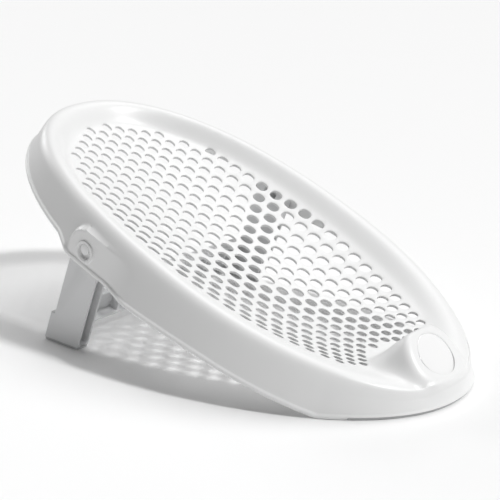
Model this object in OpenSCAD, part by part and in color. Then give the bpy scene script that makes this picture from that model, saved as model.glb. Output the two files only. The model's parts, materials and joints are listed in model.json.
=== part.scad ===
// Reclined bath support for a baby: a perforated egg-shaped seat with a rolled rim, propped on
// the floor at its foot end and on a fold-out leg at its head end.
// +Z up, head end toward +Y, left side on -X, origin on the floor at the middle of the footprint.

/* [Shell] */
// Length of the shell along its own plane
shell_l = 536; // [480:1:600]
// Width of the shell across its lower edge
shell_w = 306; // [280:1:340]
// Height of the rim above the lower edge, square to the shell
shell_h = 44; // [38:1:54]
// How far the skirt flares out past the crest of the rim
flare = 21; // [15:0.5:26]
// Wall of the moulding
wall = 3; // [2.4:0.1:3.6]
// Angle between the shell and the floor
lean = 22; // [16:0.5:28]
// Distance from the foot tip to the widest point
widest_s = 258; // [220:1:300]
// Distance from the foot tip to the line where the lower edge leaves the floor
floor_s = 68; // [50:1:90]
// Drop of the rim at the head end
head_dip = 8; // [0:0.5:14]
// Depth of the flap of skirt below the hinge
flap_h = 11; // [4:0.5:16]

/* [Seat] */
// Width of the perforated panel
panel_w = 208; // [180:1:230]
// Distance from the foot tip to the foot end of the perforated panel
panel_foot = 54; // [46:1:70]
// Distance from the foot tip to the head end of the perforated panel
panel_head = 484; // [420:1:500]
// Height of the panel's edge above the lower edge of the shell
panel_n = 25.5; // [20:0.5:34]
// Sag of the seat below the panel's edge
sag = 19; // [10:1:24]
// Distance between the holes along a row
hole_pitch = 18.2; // [16:0.1:26]
// Length of a hole
hole_l = 13.2; // [8:0.1:14]
// Width of a hole
hole_w = 10.6; // [6:0.1:12]
// How much of their size the holes keep at the foot end
foot_scale = 0.7; // [0.6:0.05:1]

/* [Hump] */
// Distance from the foot tip to the middle of the hump
hump_s = 50; // [46:1:60]
// Width of the hump at its root
hump_w = 74; // [60:1:84]
// Height of the hump above the lower edge, square to the shell
hump_n = 72; // [62:1:84]
// Diameter of the badge disc
badge_d = 42; // [30:1:44]
// Thickness of the badge disc
badge_t = 2.2; // [1.4:0.1:3]

/* [Hinge] */
// Distance from the foot tip to the hinge
hinge_s = 339; // [320:1:355]
// Height of the hinge above the lower edge
hinge_n = 6; // [2:0.5:12]
// Diameter of the pin's journal
pin_d = 17; // [12:0.5:20]
// Running clearance between the pin and its collar, on the radius
pin_gap = 0.05; // [0.03:0.01:0.1]
// Wall of the raised collar around the pin
collar_t = 2.5; // [1.6:0.1:4]
// Height of the raised collar
collar_h = 1.6; // [0.8:0.1:3]
// Clearance between the leg and the shell
leg_gap = 0.5; // [0.4:0.05:1]

/* [Leg] */
// Distance between the outer faces of the two arms
leg_w = 279; // [270:1:284]
// Thickness of an arm
arm_t = 15; // [12:0.5:16]
// Breadth of an arm
arm_b = 39; // [32:0.5:42]
// Wall of the leg's channels
leg_wall = 2.5; // [2:0.1:3.5]
// Height of the heel step above the floor
heel_h = 33; // [24:1:40]
// Depth of the heel step
heel_t = 5; // [2:0.5:8]
// Height of the crossbar's lower edge above the foot, along the arm
bar_low = 10; // [6:1:24]
// Height of the crossbar itself
bar_h = 34; // [24:1:40]
// Depth of the crossbar
bar_b = 14; // [10:0.5:15]
// Thickness of the rubber pads and of the grip strip
pad_t = 3; // [2:0.5:5]

/* [Hidden] */

joint_gap = 0.02;            // between two solids of one moulding that meet face to face
crest_w = shell_w / 2 - flare;
rim_steps = 72;              // stations round the rim
head_round = 2.2;            // fullness of the outline at the head end
foot_round = 2.1;            // and at the foot end
panel_head_round = 2.1;      // the same for the perforated panel
panel_foot_round = 2.4;
foot_sag = 6;                // how much deeper the seat sags under the baby's bottom
head_sag = -8;               // and how much less under the head
cheek_x = leg_w / 2 + leg_gap;    // inner face of the hinge cheek
cheek_r = arm_b / 2 + leg_gap + wall;    // radius of the cheek's arched top
cheek_run = 20;              // how far the flat of the cheek runs toward the foot
panel_mid = widest_s + 20;   // widest point of the perforated panel

hump_run = 36;               // half of the hump's length
nose_s = 16;                 // how far the hump's lower nose lies toward the foot
nose_run = 14;               // half of the nose's length
top_d = 22;                  // diameter of the hump's rounded top
badge_s = 40;                // distance from the foot tip to the middle of the badge
badge_drop = 16;             // how far the badge's middle lies below the top of the hump
badge_slope = 26;            // slope of the badge toward the foot, from the shell's plane
badge_gap = 0.3;             // gap round the badge
badge_rim = 3;               // width of the hump's face round the badge
shrink_s = 300;              // where the rows of holes begin to draw together
plate_cols = 6;              // the panel's mesh: lines from head to foot, which run between the rows
rows_apart = 3;              // with this many rows from one line to the next
plate_foot_steps = 4;        // and steps on either side of shrink_s
plate_head_steps = 3;
collar_d = pin_d + 2 * pin_gap + 2 * collar_t;
pin_set = 0.4;               // how far the pin's face lies below the collar's
cup_wall = 1;                // wall of the pin round the recess in its face
button_d = 11;               // round button that fills the upper part of the recess
stem_d = 11;                 // pin's stem, held in the arm
stem_gap = 0.05;
flange_d = 15;               // pin's inner flange
flange_t = 2;
rib_t = 2;
arm_ribs = 5;                // slanting ribs inside each arm
rib_foot = 16;               // height of the first of them above the foot
bar_ribs = 7;

// ---- the shell's own plane: x across, s from foot tip to head, n square to the plane ----

function spow(v, p) = sign(v) * pow(abs(v), p);
function floor_n(s) = (floor_s - s) * tan(lean);
function smooth(v) = let(c = max(0, min(1, v))) c * c * (3 - 2 * c);
function to_y(s, n) = (s - floor_s) * cos(lean) - n * sin(lean);
function to_z(s, n) = (s - floor_s) * sin(lean) + n * cos(lean);

// a point of the egg-shaped outline that lies off outside the crest line; a = 0 is the head tip
function egg(a, off) =
    let(c = cos(a), m = c > 0 ? head_round : foot_round,
        run = (c > 0 ? shell_l - widest_s : widest_s) - flare + off)
    [(crest_w + off) * spow(sin(a), 2 / m), widest_s + run * spow(c, 2 / m)];

// lower edge: on the floor at the foot end, with a flap below the hinge
function edge_n(s) =
    let(flap = smooth((s - 170) / 170) * (1 - smooth((s - hinge_s - 18) / 26)))
    max(floor_n(s), -flap_h * flap);

function rim_n(s) = let(f = max(0, s - widest_s) / (shell_l - widest_s)) shell_h - head_dip * f * f;

// outline of the perforated panel and the height of its edge
function panel_out(a, k = 1) =
    let(c = cos(a), m = c > 0 ? panel_head_round : panel_foot_round,
        run = c > 0 ? panel_head - panel_mid : panel_mid - panel_foot)
    [k * panel_w / 2 * spow(sin(a), 2 / m), panel_mid + k * run * spow(c, 2 / m)];
function panel_rho(x, s) =
    let(t = s - panel_mid, m = t > 0 ? panel_head_round : panel_foot_round,
        run = t > 0 ? panel_head - panel_mid : panel_mid - panel_foot)
    pow(pow(abs(2 * x / panel_w), m) + pow(abs(t) / run, m), 1 / m);
function panel_edge_n(s) = panel_n + 4 * smooth((200 - s) / 150) - 5 * smooth((s - 330) / 150);
function seat_n(x, s) =
    let(r = panel_rho(x, s),
        deep = sag + foot_sag * smooth((260 - s) / 130) + head_sag * smooth((s - 330) / 150))
    panel_edge_n(s) - deep * (1 - r * r);

// cross-section of the rim at station a, from the skirt's lower edge over the crest to the panel
function rim_section(a) =
    let(e = egg(a, flare), s = e[1], low = edge_n(s), top = rim_n(s), h = top - low,
        p = panel_out(a), q = egg(a, 0), pn = panel_edge_n(p[1]),
        skirt = [for (v = [[flare, 0], [flare, 3], [flare - 2, 4.5], [flare * 0.66, h * 0.6],
                           [flare * 0.45, h * 0.84], [flare * 0.2, h * 0.965], [0, h]])
                 let(o = egg(a, v[0])) [o[0], o[1], low + v[1]]],
        roll = [for (v = [[0.2, 0.06], [0.5, 0.42], [0.8, 0.84], [1, 1]])
                [q[0] + (p[0] - q[0]) * v[0], q[1] + (p[1] - q[1]) * v[0], top + (pn - top) * v[1]]])
    concat(skirt, roll);
function rim_back(a) =
    let(e = egg(a, flare), s = e[1], low = edge_n(s), top = rim_n(s), h = top - low,
        p = panel_out(a), q = egg(a, 0), pn = panel_edge_n(p[1]),
        roll = [for (v = [[1, 1], [0.75, 0.84], [0.35, 0.28]])
                [q[0] + (p[0] - q[0]) * v[0], q[1] + (p[1] - q[1]) * v[0], top + (pn - top) * v[1] - wall]],
        skirt = [for (v = [[flare * 0.2 - wall, h - wall], [flare * 0.57 - wall, h * 0.7],
                           [flare * 0.76 - wall, h * 0.4], [flare - wall, 0]])
                 let(o = egg(a, v[0])) [o[0], o[1], low + v[1]]])
    concat(roll, skirt);

// place a shell point in the frame; nothing of the shell goes below the floor
function place(p) = [p[0], to_y(p[1], p[2]) - mid_y, max(0, to_z(p[1], p[2]))];
rim_ys = [for (i = [0 : rim_steps - 1]) for (p = rim_section(i * 360 / rim_steps)) to_y(p[1], p[2])];
front_y = min(rim_ys);
mid_y = (front_y + max(rim_ys)) / 2;
function floor_y(p) = (p[1] - floor_s) / cos(lean) - mid_y;    // where the outline's point p meets the floor
hinge_y = to_y(hinge_s, hinge_n) - mid_y;
hinge_z = to_z(hinge_s, hinge_n);
leg_l = hinge_z / cos(lean);       // from the hinge to the floor, along the open leg
heel_run = (heel_h - (arm_b / 2 + heel_t) * sin(lean)) / cos(lean);    // heel step's height along the leg
shrink = (1 - foot_scale) / (shrink_s - panel_foot);
row_pitch = hole_pitch * sin(60);
row_last = ceil(panel_w / 2 / row_pitch / foot_scale);
holes = [for (i = [-row_last : row_last])
    for (j = [-ceil(shrink_s / hole_pitch / foot_scale) : ceil((panel_head - shrink_s) / hole_pitch)])
    let(s = hole_s(j + (i % 2 == 0 ? 0 : 0.5)), g = hole_scale(s), x = i * row_pitch * g)
    if (s > panel_foot && s < panel_head && hole_fits(x, s, g)) [x, s, g]];

// closed ring of sections as triangles
module ring(sections) {
    n = len(sections);
    k = len(sections[0]);
    points = [for (sec = sections) for (p = sec) place(p)];
    faces = [for (i = [0 : n - 1]) for (j = [0 : k - 1])
        let(a = i * k + j, b = i * k + (j + 1) % k,
            c = ((i + 1) % n) * k + (j + 1) % k, d = ((i + 1) % n) * k + j)
        each [[a, b, c], [a, c, d]]];
    polyhedron(points, faces, convexity = 6);
}

module in_shell(s, n, x = 0) {
    translate([x, to_y(s, n) - mid_y, to_z(s, n)]) rotate([lean, 0, 0]) children();
}

// flat outline drawn in the side view, as thick as it is told, from x outward
module side_plate(x, t) {
    translate([x, 0, 0]) rotate([90, 0, 90]) linear_extrude(t) children();
}

// ---- rim and skirt, with a soft grip strip along the part that stands on the floor ----

module on_side(side) {
    if (side > 0) children();
    else mirror([1, 0, 0]) children();
}

module rim_ring() {
    ring([for (i = [0 : rim_steps - 1]) let(a = i * 360 / rim_steps) concat(rim_section(a), rim_back(a))]);
}

module grip_zone() {
    depth = floor_s * cos(lean);
    translate([-shell_w, front_y - mid_y - 10, -5]) cube([2 * shell_w, depth, pad_t + 5]);
}

module seat_shell() {
    color("white") difference() {
        rim_ring();
        for (side = [-1, 1]) on_side(side) in_shell(hinge_s, hinge_n)
            side_plate(leg_w / 2 - arm_t, arm_t + 40) arch(cheek_r, 60);
        hump_dome(-joint_gap);
        grip_zone();
    }
}

// flat on the floor, as wide as the wall that stands on it
module front_grip() {
    grip_end = front_y - mid_y - 10 + floor_s * cos(lean);
    stations = [for (i = [0 : rim_steps - 1]) let(a = i * 360 / rim_steps)
        if (floor_y(egg(a, flare)) < grip_end) a];
    outer = [for (a = stations) let(e = egg(a, flare)) [e[0], floor_y(e)]];
    inner = [for (a = stations) let(e = egg(a, flare - wall)) [e[0], floor_y(e)]];
    last = len(stations) - 1;
    color("gainsboro") linear_extrude(pad_t - joint_gap)
        polygon(concat(outer, [for (k = [0 : last]) inner[last - k]]));
}

// ---- perforated panel ----

// the plate is meshed along the rows, so that few of its edges cross a hole
module panel_plate() {
    foot_end = panel_foot - 2;
    head_end = panel_head + 2;
    foot_step = (shrink_s - foot_end) / plate_foot_steps;
    head_step = (head_end - shrink_s) / plate_head_steps;
    stations = concat([for (k = [0 : plate_foot_steps]) foot_end + k * foot_step],
                      [for (k = [1 : plate_head_steps]) shrink_s + k * head_step]);
    w = plate_cols;
    rows = len(stations);
    m = w * rows;
    top = [for (s = stations) for (i = [0 : w - 1])
        let(x = rows_apart * (i - (w - 1) / 2) * row_pitch * hole_scale(s)) [x, s, seat_n(x, s)]];
    points = [for (p = concat(top, [for (p = top) p - [0, 0, wall]])) place(p)];
    upper = [for (k = [0 : rows - 2]) for (i = [0 : w - 2])
        let(a = k * w + i) each [[a, a + w, a + w + 1], [a, a + w + 1, a + 1]]];
    lower = [for (f = upper) [for (j = [2, 1, 0]) f[j] + m]];
    border = concat([for (i = [0 : w - 1]) i], [for (k = [1 : rows - 1]) k * w + w - 1],
                    [for (i = [w - 2 : -1 : 0]) m - w + i], [for (k = [rows - 2 : -1 : 1]) k * w]);
    sides = [for (i = [0 : len(border) - 1]) let(a = border[i], b = border[(i + 1) % len(border)])
        each [[a, b, b + m], [a, b + m, a + m]]];
    intersection() {
        polyhedron(points, concat(upper, sides, lower), convexity = 8);
        in_shell(0, 0) translate([0, 0, -100]) linear_extrude(250)
            polygon([for (i = [0 : rim_steps - 1]) panel_out(i * 360 / rim_steps, 1 - joint_gap / 50)]);
    }
}

// holes stand in rows that run from head to foot and draw together toward the foot
function hole_scale(s) = 1 - shrink * max(0, shrink_s - s);
function hole_s(v) =
    v > 0 ? shrink_s + v * hole_pitch : shrink_s - (1 - exp(shrink * hole_pitch * v)) / shrink;
function hole_fits(x, s, g) =
    let(u = abs(x) + (hole_w / 2 + 1) * g, t = s + sign(s - panel_mid) * (hole_l / 2 + 1) * g)
    panel_rho(u, s) < 0.985 && panel_rho(x, t) < 0.985 &&
    norm([x / (hump_w / 2 + hole_w / 2 + 2), (s - hump_s) / (hump_run + hole_l / 2 + 2)]) > 1;

module hole(g) {
    d = hole_w * g / cos(30);
    hull() for (t = [-1, 1]) translate([0, t * (hole_l * g - d) / 2, -90])
        rotate(30) cylinder(d = d, h = 180, $fn = 6);
}

module seat_panel() {
    color("white") difference() {
        panel_plate();
        for (h = holes) in_shell(h[1], 0, h[0]) hole(h[2]);
        hump_dome(-joint_gap);
    }
}

// ---- hump between the legs, with a round badge let into its sloping face ----

module on_badge() {
    in_shell(badge_s, hump_n - badge_drop) rotate([badge_slope, 0, 0]) children();
}

module hump_dome(inset) {
    base = panel_n - 3 - (inset > 0 ? 1 : 0);
    hull() {
        in_shell(hump_s, base)
            scale([hump_w / 2 - inset, hump_run - inset, 1]) cylinder(r = 1, h = 6, $fn = 32);
        in_shell(hump_s - nose_s, shell_h - 6 - inset)
            scale([hump_w / 2 - 6 - inset, nose_run - inset, 1]) cylinder(r = 1, h = 2, $fn = 32);
        on_badge() translate([0, 0, -6 - inset * 2])
            cylinder(d = badge_d + 2 * (badge_rim - inset), h = 6, $fn = 32);
        in_shell(hump_s + 9, hump_n - 5 - inset) cylinder(d = top_d - 2 * inset, h = 2, $fn = 32);
    }
}

module foot_hump() {
    color("white") difference() {
        hump_dome(0);
        hump_dome(wall);
        on_badge() translate([0, 0, -badge_t]) cylinder(d = badge_d + 2 * badge_gap, h = 20, $fn = 96);
    }
}

module badge_disc() {
    color("white") on_badge() translate([0, 0, -badge_t]) cylinder(d = badge_d, h = badge_t, $fn = 96);
}

// ---- hinge cheeks: flat, arch-topped plates with a raised collar, which carry the leg ----

// side view with the hinge at 0,0: round on top, straight down to low, run on toward the foot
module arch(r, low) {
    difference() {
        union() {
            circle(r, $fn = 96);
            translate([-cheek_run, 0]) circle(r, $fn = 96);
            translate([-cheek_run, 0]) square([cheek_run, r]);
            translate([-cheek_run - r, -low]) square([cheek_run + 2 * r, low]);
        }
        translate([-cheek_run - r - 1, -low - 2 * r]) square([cheek_run + 2 * r + 2, 2 * r]);
    }
}

module hinge_cheek(side) {
    r = cheek_r - joint_gap;
    drop = hinge_n + flap_h;
    color("white") on_side(side) in_shell(hinge_s, hinge_n) difference() {
        union() {
            side_plate(cheek_x, wall) arch(r, drop);
            side_plate(leg_w / 2 - arm_t + joint_gap, arm_t + leg_gap) difference() {
                arch(r, drop);
                arch(r - wall, drop + 1);
                translate([-cheek_run - r - 1, -drop - 1]) square([r + 1, drop + r + 2]);
            }
            translate([cheek_x, 0, 0]) rotate([0, 90, 0])
                cylinder(d = collar_d, h = wall + collar_h, $fn = 96);
        }
        translate([cheek_x - 1, 0, 0]) rotate([0, 90, 0])
            cylinder(d = pin_d + 2 * pin_gap, h = wall + collar_h + 2, $fn = 96);
    }
}

module pivot_pin(side) {
    inner = leg_w / 2 - leg_wall - flange_t;
    cup_d = pin_d - 2 * cup_wall;
    color("whitesmoke") on_side(side) in_shell(hinge_s, hinge_n) difference() {
        union() {
            translate([leg_w / 2 + joint_gap, 0, 0]) rotate([0, 90, 0])
                cylinder(d = pin_d, h = leg_gap + wall + collar_h - pin_set, $fn = 96);
            translate([inner, 0, 0]) rotate([0, 90, 0])
                cylinder(d = stem_d, h = leg_wall + flange_t + 1, $fn = 96);
            translate([inner - joint_gap, 0, 0]) rotate([0, 90, 0])
                cylinder(d = flange_d, h = flange_t, $fn = 96);
        }
        translate([cheek_x + wall - 1, 0, 0]) rotate([90, 0, 90]) linear_extrude(10) difference() {
            circle(d = cup_d, $fn = 96);
            translate([0, (cup_d - button_d) / 2 - 0.4]) circle(d = button_d, $fn = 96);
        }
    }
}

// ---- fold-out leg: two channel arms with heels, joined by a channel crossbar ----

// side view of an arm with the hinge at 0,0, drawn through the floor
module leg_side(inset = 0) {
    r = arm_b / 2 - inset;
    circle(r, $fn = 96);
    translate([-r, -leg_l - arm_b]) square([2 * r, leg_l + arm_b]);
    translate([0, -leg_l - arm_b]) square([r + heel_t, arm_b + heel_run]);
}

// everything above a level of the floor
module above(z) {
    translate([-shell_w, -shell_l, z]) cube([2 * shell_w, 2 * shell_l, shell_l]);
}

// slanting ribs, alternately from x0 to x1 and back
module zigzag(x0, x1, z0, z1, n, y0, depth) {
    step = (z1 - z0) / n;
    for (i = [0 : n - 1]) {
        a = i % 2 == 0 ? x0 : x1;
        b = i % 2 == 0 ? x1 : x0;
        translate([0, y0 + depth, 0]) rotate([90, 0, 0]) linear_extrude(depth)
            polygon([[a, z0 + i * step - rib_t / 2], [b, z0 + (i + 1) * step - rib_t / 2],
                     [b, z0 + (i + 1) * step + rib_t / 2], [a, z0 + i * step + rib_t / 2]]);
    }
}

module arm() {
    in_x = leg_w / 2 - arm_t;
    hollow_top = -arm_b / 2 - 4;
    hollow_x = in_x + leg_wall;
    hollow_w = arm_t - 2 * leg_wall;
    intersection() {
        in_shell(hinge_s, hinge_n) difference() {
            side_plate(in_x, arm_t) leg_side();
            difference() {
                translate([hollow_x, -arm_b / 2 - 1, -leg_l - arm_b])
                    cube([hollow_w, arm_b + 1 - leg_wall, leg_l + arm_b + hollow_top]);
                zigzag(hollow_x - 1, hollow_x + hollow_w + 1, -leg_l + rib_foot, hollow_top, arm_ribs,
                       -arm_b / 2 + 4, arm_b);
            }
            translate([in_x - 1, 0, 0]) rotate([0, 90, 0])
                cylinder(d = flange_d + 1, h = arm_t - leg_wall + 1, $fn = 96);
            translate([in_x, 0, 0]) rotate([0, 90, 0])
                cylinder(d = stem_d + 2 * stem_gap, h = arm_t + 1, $fn = 96);
        }
        above(pad_t);
    }
}

// sole that closes the foot of an arm, cut level with the floor
module sole(low, high, inset = 0) {
    intersection() {
        in_shell(hinge_s, hinge_n) side_plate(leg_w / 2 - arm_t + inset, arm_t - 2 * inset) leg_side(inset);
        difference() {
            above(low);
            above(high);
        }
    }
}

module crossbar() {
    half = leg_w / 2 - arm_t;
    low = -leg_l + bar_low;
    in_shell(hinge_s, hinge_n) translate([-half, arm_b / 2 - bar_b, low]) difference() {
        cube([2 * half, bar_b, bar_h]);
        difference() {
            translate([0, -1, leg_wall]) cube([2 * half, bar_b + 1 - leg_wall, bar_h - 2 * leg_wall]);
            for (i = [1 : bar_ribs]) translate([2 * half * i / (bar_ribs + 1) - rib_t / 2, 2, 0])
                cube([rib_t, bar_b, bar_h]);
        }
    }
}

module support_leg() {
    color("silver") {
        for (side = [-1, 1]) on_side(side) {
            arm();
            sole(pad_t, pad_t + leg_wall);
        }
        crossbar();
    }
}

module leg_pad(side) {
    color("gray") on_side(side) sole(0, pad_t - joint_gap, 1);
}

seat_shell();
seat_panel();
foot_hump();
badge_disc();
front_grip();
hinge_cheek(-1);  // hinge_cheek_left
hinge_cheek(1);  // hinge_cheek_right
pivot_pin(-1);  // pivot_pin_left
pivot_pin(1);  // pivot_pin_right
support_leg();
leg_pad(-1);  // leg_pad_left
leg_pad(1);  // leg_pad_right
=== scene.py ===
"""Looks of a reclined bath support for a baby: one white moulding with a perforated seat, a badge,
a fold-out leg on two pins, and soft grips. Sizes are in millimetres and are set down in metres."""

import json
import math

import bmesh
import bpy
from mathutils import Matrix, Vector
from mathutils.geometry import delaunay_2d_cdt

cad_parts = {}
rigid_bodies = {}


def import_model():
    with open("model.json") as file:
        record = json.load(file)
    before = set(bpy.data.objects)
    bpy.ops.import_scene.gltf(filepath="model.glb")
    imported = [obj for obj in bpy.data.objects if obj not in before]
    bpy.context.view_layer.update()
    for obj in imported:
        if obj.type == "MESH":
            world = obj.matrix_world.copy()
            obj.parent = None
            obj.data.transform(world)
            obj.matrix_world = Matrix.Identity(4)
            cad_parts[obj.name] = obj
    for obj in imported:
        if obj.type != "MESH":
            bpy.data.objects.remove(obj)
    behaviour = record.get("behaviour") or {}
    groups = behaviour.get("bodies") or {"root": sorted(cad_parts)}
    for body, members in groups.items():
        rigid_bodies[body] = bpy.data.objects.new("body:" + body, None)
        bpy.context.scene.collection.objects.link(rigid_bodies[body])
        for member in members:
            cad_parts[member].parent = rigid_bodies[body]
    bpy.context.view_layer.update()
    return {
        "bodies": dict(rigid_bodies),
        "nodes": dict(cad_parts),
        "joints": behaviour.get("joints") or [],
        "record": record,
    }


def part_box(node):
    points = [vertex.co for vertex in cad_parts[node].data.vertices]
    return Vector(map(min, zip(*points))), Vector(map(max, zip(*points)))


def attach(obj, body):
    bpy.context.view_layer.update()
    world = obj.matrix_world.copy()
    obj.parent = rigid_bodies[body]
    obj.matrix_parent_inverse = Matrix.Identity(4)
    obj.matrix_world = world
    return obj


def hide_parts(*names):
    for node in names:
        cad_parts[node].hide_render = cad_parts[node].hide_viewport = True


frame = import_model()

MM = 0.001


def middle(node):
    low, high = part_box(node)
    return (low + high) / 2 / MM


# ---- sizes that the frame gives ----
shell_low, shell_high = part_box("seat_shell")
WIDTH = (shell_high.x - shell_low.x) / MM
HINGE = middle("pivot_pin_left")
leg_low, leg_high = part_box("support_leg")
LEG_W = (leg_high.x - leg_low.x) / MM
PAD_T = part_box("leg_pad_left")[1].z / MM
GRIP_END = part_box("front_grip")[1].y / MM

# ---- sizes of the shell, in its own plane: x across, s from foot tip to head, n square to it ----
LEAN = math.radians(22)
LENGTH, FLARE, WALL = 536, 21, 3
WIDEST, FLOOR_S = 258, 68
CREST_N, HEAD_DIP, FLAP = 44, 8, 11
HEAD_ROUND, FOOT_ROUND = 2.2, 2.1
CREST_W = WIDTH / 2 - FLARE
SHOULDER = 0.62
PANEL_W, PANEL_FOOT, PANEL_HEAD, PANEL_MID = 216, 54, 491, 278
PANEL_HEAD_ROUND, PANEL_FOOT_ROUND = 2.3, 2.2
PANEL_N, SAG, BOWL = 29, 22.5, 2.2
FOOT_RISE, HEAD_FALL, FOOT_DEEPER, HEAD_SHALLOWER = 4, 5, 6, 8
RIM_SLUMP = 0.68

HOLE_PITCH, ROW_PITCH, HOLE_L, HOLE_W = 19.6, 14.5, 14.2, 10.2
HOLE_ROUND, HOLE_POINTS = 2.3, 22
HOLE_GROW, HOLE_EDGE = 0.6, ((0.3, 0.1), (0.08, 0.4), (0, 0.9))
SHRINK_S, FOOT_SHRINK, HEAD_SHRINK, LEAST_SCALE = 285, 1e-5, 0.00105, 0.58
HUMP_CLEAR_S, HUMP_CLEAR_X, HUMP_CLEAR_RUN = 50, 45, 41

BADGE_S, BADGE_N, BADGE_SLOPE, BADGE_R = 36, 57, math.radians(26), 21
BADGE_SEAT, SEAT_EDGE = 2.4, ((1.5, 0), (0.9, 0.12), (0.5, 0.5), (0.4, 2.4))
FACE_R, FACE_ROUND, SIDE_SLOPE = 25.5, 11, math.radians(64)
HUMP_BACK_S, HUMP_BACK_N, HUMP_BACK_SLOPE = 61, 71, math.radians(68)
HUMP_BLEND, BACK_BLEND, NOSE_OUT = 15, 9, 8

HINGE_S, HINGE_N = 339, 6
PIN_R, COLLAR_R, COLLAR_H = 8.5, 11.05, 1.6
FACET_X = LEG_W / 2 + 0.5 + WALL
ARCH_R, ARCH_RUN, FACET_EDGE = 23, 62, 2.8

ARM_T, ARM_B, LEG_WALL = 15, 39, 2.5
HEEL_H, HEEL_T = 33, 5
BAR_LOW, BAR_H, BAR_B, BAR_CROWN = 10, 34, 14, 2
ARM_RIBS, BAR_RIBS, RIB_HALF, BURIED = 5, 7, 1, 0.5
LEG_L = HINGE.z / math.cos(LEAN)

# ---- how closely the top surface is filled with points ----
FINE_FILL, COARSE_FILL, FINE_X, FINE_S = 1.9, 3.2, 66, 108
HOLE_CLEAR, EDGE_CLEAR, CELL = 1.9, 1.8, 30

SIDES = ((-1, "left"), (1, "right"))


def smooth(v):
    v = max(0.0, min(1.0, v))
    return v * v * (3 - 2 * v)


def power(v, p):
    return math.copysign(abs(v) ** p, v)


def soft_max(a, b, width):
    near = max(width - abs(a - b), 0) / width
    return max(a, b) + near * near * width / 4


def soft_min(a, b, width):
    return -soft_max(-a, -b, width)


def place(x, s, n):
    """A point of the shell's plane, in the row frame, in millimetres."""
    ds, dn = s - HINGE_S, n - HINGE_N
    return Vector((x, HINGE.y + ds * math.cos(LEAN) - dn * math.sin(LEAN),
                   HINGE.z + ds * math.sin(LEAN) + dn * math.cos(LEAN)))


def in_shell(x, s, n):
    return Matrix.Translation(place(x, s, n) * MM) @ Matrix.Rotation(LEAN, 4, "X")


# ---- the shell's form ----

def egg(a, off):
    """Outline off outside the crest of the rim; a runs round from the head tip."""
    c = math.cos(a)
    m = HEAD_ROUND if c > 0 else FOOT_ROUND
    run = (LENGTH - WIDEST if c > 0 else WIDEST) - FLARE + off
    return (CREST_W + off) * power(math.sin(a), 2 / m), WIDEST + run * power(c, 2 / m)


def floor_n(s):
    return (FLOOR_S - s) * math.tan(LEAN)


def edge_n(s):
    flap = smooth((s - 170) / 170) * (1 - smooth((s - HINGE_S - 18) / 26))
    return max(floor_n(s), -FLAP * flap)


def crest_n(s):
    beyond = max(0, s - WIDEST) / (LENGTH - WIDEST)
    return CREST_N - HEAD_DIP * beyond * beyond


def crest_rho(x, s):
    t = s - WIDEST
    m = HEAD_ROUND if t > 0 else FOOT_ROUND
    run = (LENGTH - WIDEST if t > 0 else WIDEST) - FLARE
    return (abs(x / CREST_W) ** m + abs(t / run) ** m) ** (1 / m)


def panel_rho(x, s):
    t = s - PANEL_MID
    m = PANEL_HEAD_ROUND if t > 0 else PANEL_FOOT_ROUND
    run = PANEL_HEAD - PANEL_MID if t > 0 else PANEL_MID - PANEL_FOOT
    return (abs(2 * x / PANEL_W) ** m + abs(t / run) ** m) ** (1 / m)


def panel_edge_n(s):
    return PANEL_N + FOOT_RISE * smooth((200 - s) / 150) - HEAD_FALL * smooth((s - 330) / 150)


def roll_point(h, t):
    """The rim's outer roll, t from 0 on the crest to 1 where the flat of the skirt begins: (off, height)."""
    out, up = SHOULDER * FLARE, SHOULDER * h
    p = ((0, h), (0.4 * FLARE, h), (out - 2.6, up + 9), (out, up))
    u = 1 - t
    return tuple(u ** 3 * p[0][j] + 3 * u * u * t * p[1][j] + 3 * u * t * t * p[2][j] + t ** 3 * p[3][j]
                 for j in (0, 1))


def roll_t(h, off):
    low, high = 0.0, 1.0
    for _ in range(20):
        t = (low + high) / 2
        if roll_point(h, t)[0] < off:
            low = t
        else:
            high = t
    return low


def join_off(s):
    """How far outside the crest the top surface ends and the skirt takes over.
    Only the hump pushes it out."""
    return NOSE_OUT * smooth((80 - s) / 45)


def seat_n(x, s):
    """Height of the seat inside the panel, and of the roll over the crest."""
    rho = panel_rho(x, s)
    edge = panel_edge_n(s)
    if rho <= 1:
        deep = SAG + FOOT_DEEPER * smooth((260 - s) / 130) - HEAD_SHALLOWER * smooth((s - 330) / 150)
        return edge - deep * (1 - rho ** BOWL)
    inside = math.hypot(x, s - WIDEST) * (1 / crest_rho(x, s) - 1)
    if inside < 0:
        h = crest_n(s) - edge_n(s)
        return crest_n(s) - h + roll_point(h, roll_t(h, -inside))[1]
    outside = math.hypot(x, s - PANEL_MID) * (1 - 1 / rho)
    t = inside / (inside + outside)
    drop = t * t * (3 - 2 * t) + RIM_SLUMP * (t ** 3 - t * t)
    return crest_n(s) + (edge - crest_n(s)) * drop


def face_n(s):
    return BADGE_N + (s - BADGE_S) * math.tan(BADGE_SLOPE)


def hump_n(x, s):
    """Height of the hump: a sloping round face with a rounded shoulder, and a steep back."""
    beyond = max(0.0, math.hypot(x, (s - BADGE_S) / math.cos(BADGE_SLOPE)) - FACE_R)
    turn = FACE_ROUND * math.sin(SIDE_SLOPE)
    if beyond < turn:
        drop = FACE_ROUND - math.sqrt(FACE_ROUND ** 2 - beyond ** 2)
    else:
        drop = FACE_ROUND * (1 - math.cos(SIDE_SLOPE)) + (beyond - turn) * math.tan(SIDE_SLOPE)
    back = HUMP_BACK_N - (s - HUMP_BACK_S) * math.tan(HUMP_BACK_SLOPE)
    return soft_min(face_n(s) - drop, back, BACK_BLEND)


def with_hump(x, s, n):
    return soft_max(n, hump_n(x, s), HUMP_BLEND)


def top_n(x, s):
    return with_hump(x, s, seat_n(x, s))


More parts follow.
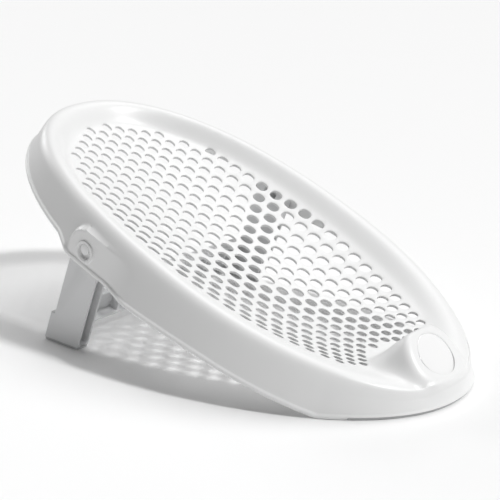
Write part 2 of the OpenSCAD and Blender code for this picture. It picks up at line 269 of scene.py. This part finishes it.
def hole_scale(s):
    """The holes and the room between them shrink toward both ends."""
    if s > SHRINK_S:
        return 1 - HEAD_SHRINK * (s - SHRINK_S)
    return max(LEAST_SCALE, 1 - FOOT_SHRINK * (SHRINK_S - s) ** 2)


def hole_stations():
    """Places along the rows, half a pitch apart, with a number that says which rows use each."""
    stations = [(SHRINK_S, 0)]
    for way in (-1, 1):
        s, number = SHRINK_S, 0
        while PANEL_FOOT < s < PANEL_HEAD:
            s += way * HOLE_PITCH / 2 * hole_scale(s)
            number += 1
            stations.append((s, number))
    return stations


def drain_holes():
    """Centres and scales of the holes, in rows that run from head to foot and draw together at both ends."""
    found = []
    last_row = math.ceil(PANEL_W / 2 / ROW_PITCH / LEAST_SCALE)
    for s, number in hole_stations():
        g = hole_scale(s)
        for row in range(-last_row, last_row + 1):
            if (row + number) % 2:
                continue
            x = row * ROW_PITCH * g
            far = s + math.copysign(HOLE_L / 2 * g, s - PANEL_MID)
            inside = max(panel_rho(abs(x) + HOLE_W / 2 * g, s), panel_rho(x, far))
            off_hump = math.hypot(x / HUMP_CLEAR_X, (s - HUMP_CLEAR_S) / HUMP_CLEAR_RUN)
            if inside < 1.01 and off_hump > 1:
                found.append((x, s, g))
    return found


def hole_loop(x, s, g, grow):
    """Oval round a hole, grow outside its edge."""
    loop = []
    for k in range(HOLE_POINTS):
        a = 2 * math.pi * k / HOLE_POINTS
        loop.append((x + (HOLE_W / 2 * g + grow) * power(math.cos(a), 2 / HOLE_ROUND),
                     s + (HOLE_L / 2 * g + grow) * power(math.sin(a), 2 / HOLE_ROUND)))
    return loop


def badge_loop(r):
    return [(r * math.sin(a), BADGE_S + r * math.cos(BADGE_SLOPE) * math.cos(a))
            for a in [2 * math.pi * k / 96 for k in range(96)]]


def rim_stations():
    """Angles round the rim, closer together at the hinges and at the hump."""
    angles, last, a = [0.0], egg(0, FLARE), 0.0
    while a < math.pi:
        a += 0.0008
        x, s = egg(a, FLARE)
        step = 1.3 if abs(s - 320) < 58 else 2.2 if s < 120 else 3.2
        if math.hypot(x - last[0], s - last[1]) > step:
            angles.append(a)
            last = (x, s)
    if math.pi - angles[-1] < 0.01:
        angles.pop()
    return angles + [math.pi] + [2 * math.pi - a for a in reversed(angles[1:])]


def line(p0, p1, count):
    return [tuple(p0[j] + (p1[j] - p0[j]) * k / count for j in (0, 1)) for k in range(1, count + 1)]


def skirt_profile(h, off):
    """From off outside the crest down the skirt, round the lip bead and up the inside: (off, height)."""
    shoulder = (SHOULDER * FLARE, SHOULDER * h)
    root = (FLARE - 2.2, 5.2)
    first = roll_t(h, off) if off else 0
    outside = [roll_point(h, first + (1 - first) * k / 12) for k in range(1, 13)]
    outside += line(shoulder, root, 22)
    bead = [(FLARE - 1.6, 4.5), (FLARE - 0.7, 4.1), (FLARE - 0.15, 3.3), (FLARE, 2.4), (FLARE, 1.2),
            (FLARE - 0.3, 0.4), (FLARE - 1, 0), (FLARE - 2.2, 0), (FLARE - 2.9, 0.3), (FLARE - 3.2, 1)]
    inside = line((FLARE - 3.2, 1), (SHOULDER * FLARE - WALL, SHOULDER * h - 1), 12)
    inside += [(max(o - WALL * (0.2 + 0.8 * k / 8), 0), v - WALL)
               for k in range(7, 0, -1) for o, v in [roll_point(h, first + (1 - first) * k / 8)]]
    return outside + bead, inside


def facet(x, s, n, level):
    """Presses the skirt flat round the hinge: level is where its outer face lies."""
    along = s - HINGE_S
    nearest = max(-ARCH_RUN, min(0.0, along))
    if n > HINGE_N:
        away = math.hypot(along - nearest, n - HINGE_N) - ARCH_R
    else:
        away = abs(along - nearest) - ARCH_R
    share = (1 - smooth(away / FACET_EDGE + 0.5)) * smooth((along + 72) / 46)
    return math.copysign(abs(x) + (level - abs(x)) * share, x)


def ground(p):
    """Keeps a point off the floor, and off the grip strip where there is one."""
    p.z = max(p.z, PAD_T + 0.05 if p.y < GRIP_END else 0)
    return p


def new_object(name, points, faces, scale=MM):
    mesh = bpy.data.meshes.new(name)
    mesh.from_pydata([tuple(Vector(p) * scale) for p in points], [], faces)
    mesh.validate()
    made = bpy.data.objects.new(name, mesh)
    bpy.context.collection.objects.link(made)
    return made


def shade(obj, angle=35):
    bm = bmesh.new()
    bm.from_mesh(obj.data)
    bmesh.ops.recalc_face_normals(bm, faces=bm.faces)
    for f in bm.faces:
        f.smooth = True
    for e in bm.edges:
        e.smooth = not (e.is_manifold and e.calc_face_angle(0) > math.radians(angle))
    bm.to_mesh(obj.data)
    bm.free()
    return obj


def settle(obj):
    """Turns an object's modifiers into plain mesh."""
    bpy.context.view_layer.update()
    mesh = bpy.data.meshes.new_from_object(obj.evaluated_get(bpy.context.evaluated_depsgraph_get()))
    obj.modifiers.clear()
    obj.data = mesh
    return obj


def cut(obj, *cutters, join=False):
    for cutter in cutters:
        step = obj.modifiers.new("cut", "BOOLEAN")
        step.operation = "UNION" if join else "DIFFERENCE"
        step.solver = "EXACT"
        step.object = cutter
    settle(obj)
    for cutter in cutters:
        bpy.data.objects.remove(cutter)
    return obj


def soften(obj, width, segments=3, angle=35):
    """Rounds the edges as a mould does."""
    step = obj.modifiers.new("soften", "BEVEL")
    step.width = width * MM
    step.segments = segments
    step.limit_method = "ANGLE"
    step.angle_limit = math.radians(angle)
    step.use_clamp_overlap = True
    return shade(settle(obj), 50)


def rod(name, r, x0, x1, centre=HINGE, count=96):
    """Cylinder along X through centre."""
    x0, x1 = sorted((x0, x1))
    points = [(x, centre.y + r * math.cos(a), centre.z + r * math.sin(a))
              for x in (x0, x1) for a in [2 * math.pi * k / count for k in range(count)]]
    faces = [tuple(range(count))[::-1], tuple(range(count, 2 * count))]
    faces += [(k, (k + 1) % count, count + (k + 1) % count, count + k) for k in range(count)]
    return new_object(name, points, faces)


# ---- the shell as one closed mesh ----

def shell_mesh():
    holes = drain_holes()
    angles = rim_stations()
    border = [egg(a, join_off(egg(a, 0)[1])) for a in angles]
    plan, owner, height = [], [], []

    def add_loop(loop, name, heights):
        start = len(plan)
        plan.extend(loop)
        owner.extend([name] * len(loop))
        height.extend(heights)
        return [(start + k, start + (k + 1) % len(loop)) for k in range(len(loop))]

    edges = add_loop(border, "border", [top_n(*p) for p in border])
    for number, hole in enumerate(holes):
        loop = hole_loop(*hole, HOLE_GROW)
        edges += add_loop(loop, number, [top_n(*p) for p in loop])
    for wider, drop in SEAT_EDGE:
        loop = badge_loop(BADGE_R + wider)
        edges += add_loop(loop, "badge", [top_n(*p) - drop for p in loop])

    near_holes = {}
    for x, s, g in holes:
        near_holes.setdefault((x // CELL, s // CELL), []).append((x, s, g))

    def clear_of_holes(x, s):
        for i in (-1, 0, 1):
            for j in (-1, 0, 1):
                for hx, hs, g in near_holes.get((x // CELL + i, s // CELL + j), ()):
                    across, along = HOLE_W / 2 * g + HOLE_CLEAR, HOLE_L / 2 * g + HOLE_CLEAR
                    if math.hypot((x - hx) / across, (s - hs) / along) < 1:
                        return False
        return True

    def fill(spacing, by_the_hump):
        step = spacing * math.sin(math.radians(60))
        reach = int(WIDTH / 2 / spacing)
        for j in range(int(LENGTH / step) + 1):
            for i in range(-reach, reach + 1):
                x, s = (i + 0.5 * (j % 2)) * spacing, (j + 0.31) * step
                room = join_off(s) + math.hypot(x, s - WIDEST) * (1 / crest_rho(x, s) - 1)
                if (abs(x) < FINE_X and s < FINE_S) != by_the_hump:
                    continue
                r = math.hypot(x, (s - BADGE_S) / math.cos(BADGE_SLOPE)) - BADGE_R
                if room > EDGE_CLEAR and abs(r - 0.95) >= 1.3 and clear_of_holes(x, s):
                    plan.append((x, s))
                    owner.append(None)
                    height.append(top_n(x, s) - (BADGE_SEAT if r < 0.4 else 0))

    fill(FINE_FILL, True)
    fill(COARSE_FILL, False)

    points, _, faces, came_from = delaunay_2d_cdt([Vector(p) for p in plan], edges, [], 1, 1e-5)[:4]
    first = [origin[0] for origin in came_from]
    faces = [[first[k] for k in f] for f in faces]
    faces = [f for f in faces
             if not (isinstance(owner[f[0]], int) and owner[f[0]] == owner[f[1]] == owner[f[2]])]

    count = len(plan)
    made = [place(x, s, n) for (x, s), n in zip(plan, height)]
    made += [place(x, s, n - WALL) for (x, s), n in zip(plan, height)]
    solid = [tuple(f) for f in faces] + [tuple(k + count for k in reversed(f)) for f in faces]

    def strip(upper, lower):
        for k in range(len(upper)):
            j = (k + 1) % len(upper)
            solid.append((upper[k], upper[j], lower[j], lower[k]))

    start = len(angles)
    for hole in holes:
        rim = list(range(start, start + HOLE_POINTS))
        start += HOLE_POINTS
        upper = rim
        for grow, drop in HOLE_EDGE:
            loop = hole_loop(*hole, grow)
            ring = list(range(len(made), len(made) + HOLE_POINTS))
            made.extend(place(x, s, top_n(x, s) - drop) for x, s in loop)
            strip(upper, ring)
            upper = ring
        strip(upper, [k + count for k in rim])

    rings = []
    for a in angles:
        low = edge_n(egg(a, FLARE)[1])
        top = crest_n(egg(a, 0)[1])
        outside, inside = skirt_profile(top - low, join_off(egg(a, 0)[1]))
        ring = []
        for part, wall in ((outside, 0), (inside, WALL)):
            for off, v in part:
                x, s = egg(a, off)
                n = low + v
                lift = smooth((v / (top - low) - 0.3) / 0.5)
                n += lift * (with_hump(x, s, n + wall) - n - wall)
                bead = max(0.0, off - FLARE + 2.2) if not wall else 0
                x = facet(x, s, n, FACET_X - wall + 0.5 * bead)
                ring.append(len(made))
                made.append(ground(place(x, s, n)))
        rings.append(ring)
    for k, ring in enumerate(rings):
        j = (k + 1) % len(rings)
        here = [k] + ring + [k + count]
        there = [j] + rings[j] + [j + count]
        for i in range(len(here) - 1):
            solid.append((here[i], there[i], there[i + 1], here[i + 1]))
    return made, solid


points, faces = shell_mesh()
shell = new_object("shell_moulding", points, faces)
bm = bmesh.new()
bm.from_mesh(shell.data)
bmesh.ops.delete(bm, geom=[v for v in bm.verts if not v.link_faces], context="VERTS")
bmesh.ops.dissolve_degenerate(bm, dist=1e-6, edges=bm.edges)
bm.to_mesh(shell.data)
bm.free()
cut(shell, *[rod("bore", PIN_R + 0.06, side * (FACET_X - 8), side * (FACET_X + 8)) for side, _ in SIDES])
shade(shell, 40)


def turned(name, profile, centre, turn, count=96):
    """Solid turned round the local Z axis: profile is (radius, height) from the axis round to the axis,
    or a closed loop if its first radius isn't 0."""
    points, faces, rings = [], [], []
    for r, z in profile:
        if r == 0:
            rings.append([len(points)])
            points.append(Vector((0, 0, z)))
        else:
            rings.append(list(range(len(points), len(points) + count)))
            points += [Vector((r * math.cos(a), r * math.sin(a), z))
                       for a in [2 * math.pi * k / count for k in range(count)]]
    pairs = list(zip(rings, rings[1:]))
    if profile[0][0] != 0:
        pairs.append((rings[-1], rings[0]))
    for low, high in pairs:
        for k in range(count):
            j = (k + 1) % count
            if len(low) == 1:
                faces.append((low[0], high[j], high[k]))
            elif len(high) == 1:
                faces.append((low[k], low[j], high[0]))
            else:
                faces.append((low[k], low[j], high[j], high[k]))
    place_it = Matrix.Translation(centre) @ turn
    return shade(new_object(name, [place_it @ p for p in points], faces), 50)


def arc(cx, cy, r, start, end, count):
    return [(cx + r * math.cos(math.radians(start + (end - start) * k / count)),
             cy + r * math.sin(math.radians(start + (end - start) * k / count))) for k in range(count + 1)]


# ---- badge: a blank disc, slightly domed, with a rounded edge ----
DISC_T, DISC_CROWN = 2.2, 0.7
disc = [(0, -DISC_T)] + arc(BADGE_R - 0.5, 0.5 - DISC_T, 0.5, -90, 0, 3)
disc += arc(BADGE_R - 0.9, -0.9, 0.9, 0, 75, 6)
disc += [(BADGE_R * (1 - k / 8) - 0.9, DISC_CROWN * (1 - (1 - k / 8) ** 2)) for k in range(1, 8)]
disc += [(0, DISC_CROWN)]
face_turn = Matrix.Rotation(LEAN + BADGE_SLOPE, 4, "X")
seated = place(0, BADGE_S, BADGE_N) - face_turn @ Vector((0, 0, 0.1))
turned("badge_disc", disc, seated, face_turn, 128)

# ---- grip strip under the foot end ----
grip_rings = []
for a in rim_stations():
    if place(*egg(a, FLARE), floor_n(egg(a, FLARE)[1])).y < GRIP_END - 0.5:
        grip_rings.append(a)
grip_section = (arc(FLARE - 1.1, 0.5, 0.5, -90, 0, 3) + arc(FLARE - 1.1, PAD_T - 0.5, 0.5, 0, 90, 3)
                + arc(FLARE - 3.3, PAD_T - 0.5, 0.5, 90, 180, 3) + arc(FLARE - 3.3, 0.5, 0.5, 180, 270, 3))
points, faces = [], []
for a in grip_rings:
    for off, z in grip_section:
        x, s = egg(a, off)
        p = place(x, s, floor_n(s))
        points.append((p.x, p.y, z))
count = len(grip_section)
for i in range(len(grip_rings) - 1):
    here, there = i * count, (i + 1) * count
    for j in range(count):
        faces.append((here + j, there + j, there + (j + 1) % count, here + (j + 1) % count))
faces += [tuple(range(count)), tuple(range(len(points) - count, len(points)))[::-1]]
shade(new_object("grip_strip", points, faces))


# ---- hinges: collar and stop on the shell, pin in the leg ----

def side_turn(side):
    """Local Z points outward along X."""
    return Matrix.Rotation(LEAN, 4, "X") @ Matrix.Rotation(side * math.pi / 2, 4, "Y")


def prism(name, outline, x0, x1):
    """Side-view outline round the hinge (toward the head, up the leg), as thick as x0 to x1."""
    frame_at = in_shell(0, HINGE_S, HINGE_N)
    count = len(outline)
    points = [frame_at @ (Vector((x, u, v)) * MM) for x in (x0, x1) for u, v in outline]
    faces = [tuple(range(count))[::-1], tuple(range(count, 2 * count))]
    faces += [(k, (k + 1) % count, count + (k + 1) % count, count + k) for k in range(count)]
    return shade(new_object(name, points, faces, 1.0), 30)


def stop_outline():
    outer, inner, low = ARCH_R - 0.1, ARCH_R - WALL, -HINGE_N - FLAP + 3
    loop = [(-20, outer)] + arc(0, 0, outer, 90, 0, 24) + [(outer, low), (inner, low)]
    return loop + arc(0, 0, inner, 0, 90, 24) + [(-20, inner)]


def collar(side, word):
    level = FACET_X - 0.3
    ring = (arc(PIN_R + 0.55, COLLAR_H + 0.3 - 0.5, 0.5, 180, 90, 4)
            + arc(COLLAR_R - 0.7, COLLAR_H + 0.3 - 0.7, 0.7, 90, 0, 6)
            + arc(COLLAR_R + 0.7, 0.9, 0.7, 180, 250, 5) + [(COLLAR_R + 0.6, -0.2), (PIN_R + 0.05, -0.2)])
    return turned(f"hinge_collar_{word}", ring, Vector((side * level, HINGE.y, HINGE.z)), side_turn(side))


def pin(side, word):
    """Journal with a crescent recess under a round button; a dark slot runs down each side of it."""
    back, face = LEG_W / 2 - 4.4, FACET_X + COLLAR_H - 0.4
    body = rod(f"hinge_pin_{word}", PIN_R, side * (LEG_W / 2 + 0.05), side * face)
    stem = rod("stem", 5.5, side * back, side * (LEG_W / 2 + 1))
    cut(body, stem, join=True)
    up = Matrix.Rotation(LEAN, 3, "X") @ Vector((0, 0, 1))
    recess = rod("recess", PIN_R - 0.7, side * (face - 4.1), side * (face + 2))
    button = rod("button", 5.2, side * (face - 5), side * (face + 4), HINGE + up * 2.4)
    cut(recess, button)
    cut(body, recess)
    return soften(body, 0.25, 2)


for side, word in SIDES:
    pin(side, word)
    collar(side, word)
    band = prism(f"hinge_stop_{word}", stop_outline(),
                 side * (LEG_W / 2 - ARM_T), side * (FACET_X - WALL + 0.5))
    soften(band, 0.6, 2)


# ---- leg ----

def keep_above(obj, z):
    bm = bmesh.new()
    bm.from_mesh(obj.data)
    cut_at = bmesh.ops.bisect_plane(bm, geom=bm.verts[:] + bm.edges[:] + bm.faces[:], plane_co=(0, 0, z * MM),
                                    plane_no=(0, 0, 1), clear_inner=True)
    bmesh.ops.contextual_create(bm, geom=[e for e in cut_at["geom_cut"] if isinstance(e, bmesh.types.BMEdge)])
    bmesh.ops.recalc_face_normals(bm, faces=bm.faces)
    bm.to_mesh(obj.data)
    bm.free()
    return obj


def arm_outline():
    r = ARM_B / 2
    heel_v = -LEG_L + (HEEL_H - (r + HEEL_T) * math.sin(LEAN)) / math.cos(LEAN)
    low = -LEG_L - ARM_B
    return arc(0, 0, r, 180, 0, 48) + [(r, heel_v), (r + HEEL_T, heel_v), (r + HEEL_T, low), (-r, low)]


def plate(name, corners, u0, u1):
    """Flat rib given by its corners as seen from the front, as thick as u0 to u1."""
    frame_at = in_shell(0, HINGE_S, HINGE_N)
    count = len(corners)
    points = [frame_at @ (Vector((x, u, v)) * MM) for u in (u0, u1) for x, v in corners]
    faces = [tuple(range(count)), tuple(range(count, 2 * count))[::-1]]
    faces += [(k, count + k, count + (k + 1) % count, (k + 1) % count) for k in range(count)]
    return new_object(name, points, faces, 1.0)


def rounded_cutter(name, x0, x1, u0, u1, v0, v1, r):
    """Box with its corners rounded as seen from the front, which cuts a channel."""
    corners = (arc(x1 - r, v1 - r, r, 0, 90, 5) + arc(x0 + r, v1 - r, r, 90, 180, 5)
               + arc(x0 + r, v0 + r, r, 180, 270, 5) + arc(x1 - r, v0 + r, r, 270, 360, 5))
    return shade(plate(name, corners, u0, u1), 30)


def leg_arm(side):
    r, out = ARM_B / 2, LEG_W / 2
    arm = keep_above(prism("leg_arm", arm_outline(), side * (out - ARM_T), side * out), PAD_T + 0.05)
    x0, x1 = sorted((side * (out - ARM_T + LEG_WALL), side * (out - LEG_WALL)))
    foot = -LEG_L + 12
    cut(arm, rounded_cutter("channel", x0, x1, -r - 5, r - LEG_WALL, foot, -r - 4, 3.5))
    cut(arm, rod("seat", 8, side * (out - ARM_T - 1), side * (out - LEG_WALL)),
        rod("eye", 5.55, side * (out - ARM_T - 1), side * (out + 1)))
    arm = soften(arm, 0.7)
    ribs = []
    rise = (-r - 4 - foot) / ARM_RIBS
    for k in range(ARM_RIBS):
        a, b = (x0 - BURIED, x1 + BURIED) if k % 2 == 0 else (x1 + BURIED, x0 - BURIED)
        v = foot + k * rise
        slanted = [(a, v - RIB_HALF), (b, v + rise - RIB_HALF), (b, v + rise + RIB_HALF), (a, v + RIB_HALF)]
        ribs.append(plate("rib", slanted, -r + 16, r - 1))
    return [arm] + [soften(rib, 0.3, 2) for rib in ribs]


def crossbar():
    half = LEG_W / 2 - ARM_T
    back = ARM_B / 2
    low = -LEG_L + BAR_LOW

    def crowned(inset):
        top = [(half * t, low + BAR_H - inset + BAR_CROWN * math.cos(math.pi / 2 * t))
               for t in [1 - 2 * k / 24 for k in range(25)]]
        return [(-half, low + inset), (half, low + inset)] + top

    bar = plate("crossbar", [(x * (1 + 0.4 / half), v) for x, v in crowned(0)], back - BAR_B, back)
    cut(bar, plate("channel", [(x * (1 + 1 / half), v) for x, v in crowned(LEG_WALL)],
                   back - BAR_B - 2, back - LEG_WALL))
    bar = soften(bar, 0.7)
    ribs = []
    for x in [half * (2 * k / (BAR_RIBS + 1) - 1) for k in range(1, BAR_RIBS + 1)]:
        left, right, foot, head = x - RIB_HALF, x + RIB_HALF, low + 1, low + BAR_H - 1
        upright = [(left, foot), (right, foot), (right, head), (left, head)]
        ribs.append(plate("rib", upright, back - BAR_B + 2, back - 1))
    return [bar] + [soften(rib, 0.3, 2) for rib in ribs]


def joined(name, parts):
    """One object out of several."""
    bm = bmesh.new()
    for part in parts:
        bm.from_mesh(part.data)
        bpy.data.objects.remove(part)
    mesh = bpy.data.meshes.new(name)
    bm.to_mesh(mesh)
    bm.free()
    made = bpy.data.objects.new(name, mesh)
    bpy.context.collection.objects.link(made)
    return made


joined("leg_frame", leg_arm(-1) + leg_arm(1) + crossbar())

for _, word in SIDES:
    low, high = (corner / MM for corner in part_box(f"leg_pad_{word}"))
    corners = [(low.x, low.y), (high.x, low.y), (high.x, high.y), (low.x, high.y)]
    points = [(x, y, z) for z in (0, PAD_T) for x, y in corners]
    faces = [(3, 2, 1, 0), (4, 5, 6, 7)] + [(k, (k + 1) % 4, 4 + (k + 1) % 4, 4 + k) for k in range(4)]
    soften(new_object(f"leg_pad_soft_{word}", points, faces), 0.6, 3)


# ---- materials ----

def shader_group(name, inputs, outputs):
    group = bpy.data.node_groups.new(name, "ShaderNodeTree")
    for label, kind, value in inputs:
        socket = group.interface.new_socket(label, in_out="INPUT", socket_type=kind)
        if value is not None:
            socket.default_value = value
    for label, kind in outputs:
        group.interface.new_socket(label, in_out="OUTPUT", socket_type=kind)
    return group, group.nodes.new("NodeGroupInput"), group.nodes.new("NodeGroupOutput")


def moulded_grain():
    """Fine spark-eroded grain over slow waviness: a normal and a roughness."""
    group, given, made = shader_group(
        "moulded grain",
        [("Grain per mm", "NodeSocketFloat", 2.0), ("Grain depth", "NodeSocketFloat", 0.05),
         ("Wave depth", "NodeSocketFloat", 0.03), ("Roughness", "NodeSocketFloat", 0.4),
         ("Roughness range", "NodeSocketFloat", 0.06)],
        [("Normal", "NodeSocketVector"), ("Roughness", "NodeSocketFloat")])
    nodes, links = group.nodes, group.links
    where = nodes.new("ShaderNodeTexCoord")
    scale = nodes.new("ShaderNodeMath")
    scale.operation = "MULTIPLY"
    scale.inputs[1].default_value = 1000.0
    links.new(given.outputs["Grain per mm"], scale.inputs[0])
    grain = nodes.new("ShaderNodeTexNoise")
    grain.inputs["Detail"].default_value = 2.0
    links.new(where.outputs["Object"], grain.inputs["Vector"])
    links.new(scale.outputs[0], grain.inputs["Scale"])
    wave = nodes.new("ShaderNodeTexNoise")
    wave.inputs["Scale"].default_value = 22.0
    wave.inputs["Detail"].default_value = 1.0
    links.new(where.outputs["Object"], wave.inputs["Vector"])
    slow = nodes.new("ShaderNodeBump")
    slow.inputs["Distance"].default_value = 0.002
    links.new(given.outputs["Wave depth"], slow.inputs["Strength"])
    links.new(wave.outputs["Fac"], slow.inputs["Height"])
    fine = nodes.new("ShaderNodeBump")
    fine.inputs["Distance"].default_value = 0.0002
    links.new(given.outputs["Grain depth"], fine.inputs["Strength"])
    links.new(grain.outputs["Fac"], fine.inputs["Height"])
    links.new(slow.outputs["Normal"], fine.inputs["Normal"])
    spread = nodes.new("ShaderNodeMath")
    spread.operation = "MULTIPLY_ADD"
    centred = nodes.new("ShaderNodeMath")
    centred.operation = "SUBTRACT"
    centred.inputs[1].default_value = 0.5
    links.new(wave.outputs["Fac"], centred.inputs[0])
    links.new(centred.outputs[0], spread.inputs[0])
    links.new(given.outputs["Roughness range"], spread.inputs[1])
    links.new(given.outputs["Roughness"], spread.inputs[2])
    links.new(fine.outputs["Normal"], made.inputs["Normal"])
    links.new(spread.outputs[0], made.inputs["Roughness"])
    return group


def colour_drift():
    """A plastic's colour, a touch uneven from flow in the mould."""
    group, given, made = shader_group(
        "colour drift",
        [("Colour", "NodeSocketColor", (0.8, 0.8, 0.8, 1)), ("Amount", "NodeSocketFloat", 0.02),
         ("Scale", "NodeSocketFloat", 9.0)],
        [("Colour", "NodeSocketColor")])
    nodes, links = group.nodes, group.links
    where = nodes.new("ShaderNodeTexCoord")
    cloud = nodes.new("ShaderNodeTexNoise")
    cloud.inputs["Detail"].default_value = 3.0
    links.new(where.outputs["Object"], cloud.inputs["Vector"])
    links.new(given.outputs["Scale"], cloud.inputs["Scale"])
    level = nodes.new("ShaderNodeMath")
    level.operation = "MULTIPLY_ADD"
    centred = nodes.new("ShaderNodeMath")
    centred.operation = "SUBTRACT"
    centred.inputs[1].default_value = 0.5
    links.new(cloud.outputs["Fac"], centred.inputs[0])
    links.new(centred.outputs[0], level.inputs[0])
    links.new(given.outputs["Amount"], level.inputs[1])
    level.inputs[2].default_value = 1.0
    tint = nodes.new("ShaderNodeHueSaturation")
    links.new(given.outputs["Colour"], tint.inputs["Color"])
    links.new(level.outputs[0], tint.inputs["Value"])
    links.new(tint.outputs["Color"], made.inputs["Colour"])
    return group


GRAIN, DRIFT = moulded_grain(), colour_drift()
PLASTIC_IOR, ROUGHNESS_RANGE = 1.49, 0.08


def plastic(name, colour, roughness, grain_per_mm, grain_depth, wave_depth, drift, sheen=0.5):
    material = bpy.data.materials.new(name)
    material.use_nodes = True
    nodes, links = material.node_tree.nodes, material.node_tree.links
    surface = nodes["Principled BSDF"]
    surface.inputs["IOR"].default_value = PLASTIC_IOR
    surface.inputs["Specular IOR Level"].default_value = sheen
    grain = nodes.new("ShaderNodeGroup")
    grain.node_tree = GRAIN
    for label, value in (("Grain per mm", grain_per_mm), ("Grain depth", grain_depth),
                         ("Wave depth", wave_depth), ("Roughness", roughness),
                         ("Roughness range", ROUGHNESS_RANGE)):
        grain.inputs[label].default_value = value
    tint = nodes.new("ShaderNodeGroup")
    tint.node_tree = DRIFT
    tint.inputs["Colour"].default_value = (*colour, 1)
    tint.inputs["Amount"].default_value = drift
    links.new(tint.outputs["Colour"], surface.inputs["Base Color"])
    links.new(grain.outputs["Normal"], surface.inputs["Normal"])
    links.new(grain.outputs["Roughness"], surface.inputs["Roughness"])
    return material


WHITE = plastic("white satin moulding", (0.86, 0.862, 0.86), 0.36, 1.6, 0.10, 0.02, 0.03)
LEG_WHITE = plastic("pale grey satin moulding", (0.74, 0.745, 0.75), 0.42, 1.6, 0.12, 0.03, 0.04)
BADGE_GLOSS = plastic("glossy badge", (0.9, 0.9, 0.9), 0.14, 2.5, 0.02, 0.015, 0.01)
SOFT = plastic("soft grey grip", (0.58, 0.585, 0.59), 0.68, 3.0, 0.35, 0.05, 0.08, 0.3)

# piece: its material, the body it rides on, its slot, and the solids it stands for
HAND_IN = {
    "shell_moulding": (WHITE, "shell", "shell", ["seat_shell", "seat_panel", "foot_hump",
                                                 "hinge_cheek_left", "hinge_cheek_right"]),
    "hinge_collar_left": (WHITE, "shell", "shell", []),
    "hinge_collar_right": (WHITE, "shell", "shell", []),
    "hinge_stop_left": (WHITE, "shell", "shell", []),
    "hinge_stop_right": (WHITE, "shell", "shell", []),
    "badge_disc": (BADGE_GLOSS, "shell", "badge", ["badge_disc"]),
    "grip_strip": (SOFT, "shell", "soft_grip", ["front_grip"]),
    "leg_frame": (LEG_WHITE, "leg", "leg", ["support_leg"]),
    "hinge_pin_left": (WHITE, "leg", "leg", ["pivot_pin_left"]),
    "hinge_pin_right": (WHITE, "leg", "leg", ["pivot_pin_right"]),
    "leg_pad_soft_left": (SOFT, "leg", "soft_grip", ["leg_pad_left"]),
    "leg_pad_soft_right": (SOFT, "leg", "soft_grip", ["leg_pad_right"]),
}
for obj in [o for o in bpy.context.scene.objects if o.type == "MESH"]:
    # a piece that shares its solid's name carries a number after a dot
    key = obj.name.split(".")[0]
    if key not in HAND_IN or obj.name in frame:
        continue
    material, body, slot, nodes = HAND_IN[key]
    obj.data.materials.clear()
    obj.data.materials.append(material)
    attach(obj, body)
    if nodes:
        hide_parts(*nodes)

# ---- floor, light and camera ----

FLOOR_HALF = 6000
quarters = ((-1, -1), (1, -1), (1, 1), (-1, 1))
floor = new_object("floor", [(x * FLOOR_HALF, y * FLOOR_HALF, 0) for x, y in quarters], [(0, 1, 2, 3)])
paint = bpy.data.materials.new("pale floor")
paint.use_nodes = True
surface = paint.node_tree.nodes["Principled BSDF"]
surface.inputs["Base Color"].default_value = (0.93, 0.93, 0.93, 1)
surface.inputs["Roughness"].default_value = 0.6
floor.data.materials.append(paint)


def sun(name, direction, strength, spread):
    """Soft light from a direction, the same all over the floor."""
    light = bpy.data.lights.new(name, "SUN")
    light.energy = strength
    light.angle = math.radians(spread)
    made = bpy.data.objects.new(name, light)
    made.rotation_mode = "QUATERNION"
    made.rotation_quaternion = (-Vector(direction)).to_track_quat("-Z", "Y")
    bpy.context.collection.objects.link(made)


sun("key", (0.22, -0.8, 1.0), 1.85, 7)
sun("overhead", (0.4, 0.1, 1.0), 1.2, 40)
sun("back", (0.1, 1.0, 0.35), 0.7, 25)

# the sky lights the scene dimly, and is itself seen as pale
SKY_LIGHT, SKY_SEEN = 0.2, 0.95
world = bpy.data.worlds.new("studio")
world.use_nodes = True
nodes, links = world.node_tree.nodes, world.node_tree.links
dim, pale, choice = nodes["Background"], nodes.new("ShaderNodeBackground"), nodes.new("ShaderNodeMixShader")
dim.inputs["Color"].default_value = (1, 1, 1, 1)
dim.inputs["Strength"].default_value = SKY_LIGHT
pale.inputs["Color"].default_value = (1, 1, 1, 1)
pale.inputs["Strength"].default_value = SKY_SEEN
links.new(nodes.new("ShaderNodeLightPath").outputs["Is Camera Ray"], choice.inputs["Fac"])
links.new(dim.outputs["Background"], choice.inputs[1])
links.new(pale.outputs["Background"], choice.inputs[2])
links.new(choice.outputs["Shader"], nodes["World Output"].inputs["Surface"])
bpy.context.scene.world = world
bpy.context.scene.view_settings.view_transform = "Standard"

CAMERA_AZIMUTH, CAMERA_ELEVATION, CAMERA_AWAY = math.radians(-48.84), math.radians(18.35), 1.3578
LENS, SENSOR = 100.3, 36
LOOK_AT = Vector((-0.0024, -0.013, 0.0917))
toward = Vector((math.sin(-CAMERA_AZIMUTH) * math.cos(CAMERA_ELEVATION),
                 math.cos(CAMERA_AZIMUTH) * math.cos(CAMERA_ELEVATION), -math.sin(CAMERA_ELEVATION)))
camera = bpy.data.objects.new("camera", bpy.data.cameras.new("camera"))
camera.data.lens = LENS
camera.data.sensor_width = SENSOR
camera.location = LOOK_AT - toward * CAMERA_AWAY
camera.rotation_mode = "QUATERNION"
camera.rotation_quaternion = toward.to_track_quat("-Z", "Y")
bpy.context.collection.objects.link(camera)
bpy.context.scene.camera = camera
